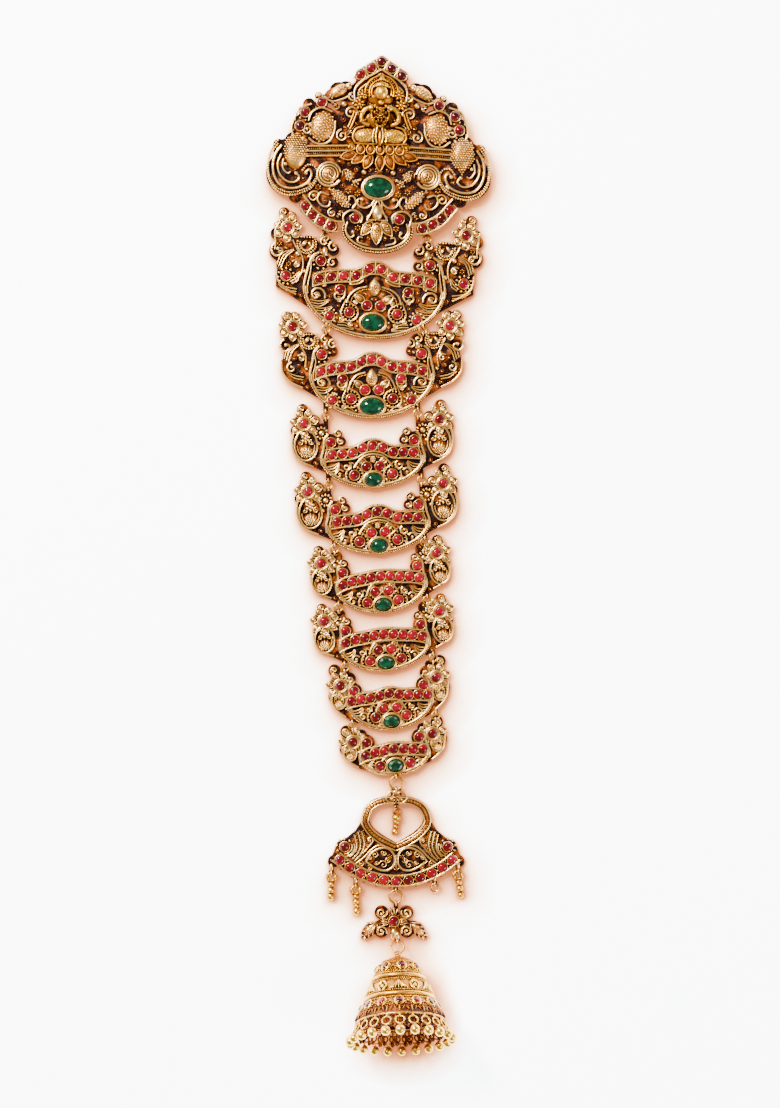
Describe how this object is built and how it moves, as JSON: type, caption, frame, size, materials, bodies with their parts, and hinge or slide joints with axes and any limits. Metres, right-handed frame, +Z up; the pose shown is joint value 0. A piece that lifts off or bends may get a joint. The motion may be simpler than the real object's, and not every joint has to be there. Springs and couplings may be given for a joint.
{
  "type": "hair braid ornament",
  "caption": "Long jointed hair braid ornament: a crown plaque, graduated crescent plaques, a fan and a fringed bell, set with red and green stones.",
  "frame": {"origin": "middle of the ornament's outline, on the floor it lies on", "axes": "+Z up, out of the jewelled front; +Y towards the crown plaque; +X to the right seen from the front"},
  "size_m": [0.0808, 0.3592, 0.0365],
  "materials": {
    "gold": "antique gold, dark in the recesses",
    "ruby": "polished, foil backed",
    "emerald": "polished, foil backed"
  },
  "bodies": {
    "root": {"crown_plate": "gold", "seated_figure": "gold", "crown_emerald": "emerald", "crown_rubies": "ruby", "hair_pin": "gold", "crescent_1": "gold", "crescent_2": "gold", "crescent_3": "gold", "crescent_4": "gold", "crescent_5": "gold", "crescent_6": "gold", "crescent_7": "gold", "crescent_8": "gold", "emerald_1": "emerald", "emerald_2": "emerald", "emerald_3": "emerald", "emerald_4": "emerald", "emerald_5": "emerald", "emerald_6": "emerald", "emerald_7": "emerald", "emerald_8": "emerald", "rubies_1": "ruby", "rubies_2": "ruby", "rubies_3": "ruby", "rubies_4": "ruby", "rubies_5": "ruby", "rubies_6": "ruby", "rubies_7": "ruby", "rubies_8": "ruby", "link_left_1": "gold", "link_left_2": "gold", "link_left_3": "gold", "link_left_4": "gold", "link_left_5": "gold", "link_left_6": "gold", "link_left_7": "gold", "link_left_8": "gold", "link_right_1": "gold", "link_right_2": "gold", "link_right_3": "gold", "link_right_4": "gold", "link_right_5": "gold", "link_right_6": "gold", "link_right_7": "gold", "link_right_8": "gold", "link_fan": "gold", "link_spacer": "gold", "link_bell": "gold", "fan_plate": "gold", "fan_rubies": "ruby", "heart_drop": "gold", "drop_left_outer": "gold", "drop_left_inner": "gold", "loop_right_inner": "gold", "drop_right_outer": "gold", "spacer_flower": "gold", "spacer_ruby": "ruby", "bell": "gold", "bell_rubies": "ruby", "bell_fringe": "gold"}
  },
  "joints": []
}
